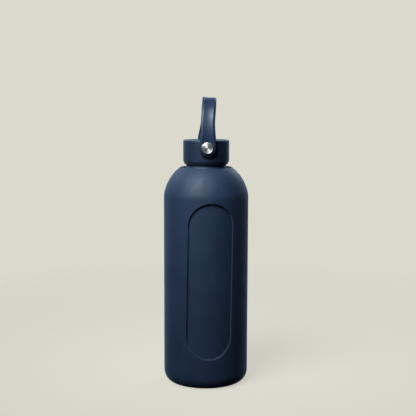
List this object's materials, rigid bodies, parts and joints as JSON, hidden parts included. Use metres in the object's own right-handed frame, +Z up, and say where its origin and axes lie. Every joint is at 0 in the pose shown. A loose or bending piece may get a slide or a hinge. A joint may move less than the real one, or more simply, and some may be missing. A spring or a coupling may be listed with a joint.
{
  "type": "glass water bottle",
  "caption": "Glass water bottle in a silicone sleeve with a sunk oval panel, a screw lid and a pivoting carry strap on rivets.",
  "frame": {"origin": "centre of the bottle's base, on the surface that it stands on", "axes": "+Z up along the bottle's axis; -Y is the front, where the sunk panel and the front rivet are; +X to the right as seen from the front"},
  "size_m": [0.0766, 0.0766, 0.2599],
  "materials": {
    "clear_glass": "clear, fire-polished rim",
    "sleeve_silicone": "matte navy silicone, soft touch",
    "lid_coating": "matte navy",
    "liner_plastic": "natural moulded polypropylene",
    "seal_silicone": "translucent white silicone",
    "strap_silicone": "satin navy silicone",
    "rivet_steel": "turned and polished face",
    "bush_plastic": "moulded acetal",
    "clip_steel": "plain spring steel"
  },
  "bodies": {
    "bottle": {"glass_bottle": "clear_glass", "silicone_sleeve": "sleeve_silicone"},
    "seal": {"seal_ring": "seal_silicone"},
    "lid": {"lid_shell": "lid_coating", "lid_liner": "liner_plastic", "rivet_front": "rivet_steel", "rivet_rear": "rivet_steel", "bush_front": "bush_plastic", "bush_rear": "bush_plastic", "clip_front": "clip_steel", "clip_rear": "clip_steel"},
    "strap": {"carry_strap": "strap_silicone"}
  },
  "joints": [
    {"name": "lid_lift", "type": "slide", "parent": "bottle", "child": "seal", "axis": [0, 0, 1], "range_m": [0, 0.04]},
    {"name": "lid_turn", "type": "hinge", "parent": "seal", "child": "lid", "pos_m": [0, 0, 0.2149], "axis": [0, 0, 1], "range_deg": [0, 1800]},
    {"name": "strap_pivot", "type": "hinge", "parent": "lid", "child": "strap", "pos_m": [0, 0, 0.2149], "axis": [0, 1, 0], "range_deg": [-118, 112]}
  ],
  "couplings": [
    {"joint": "lid_lift", "follows": "lid_turn", "m_per_rad": 0.0012732}
  ]
}
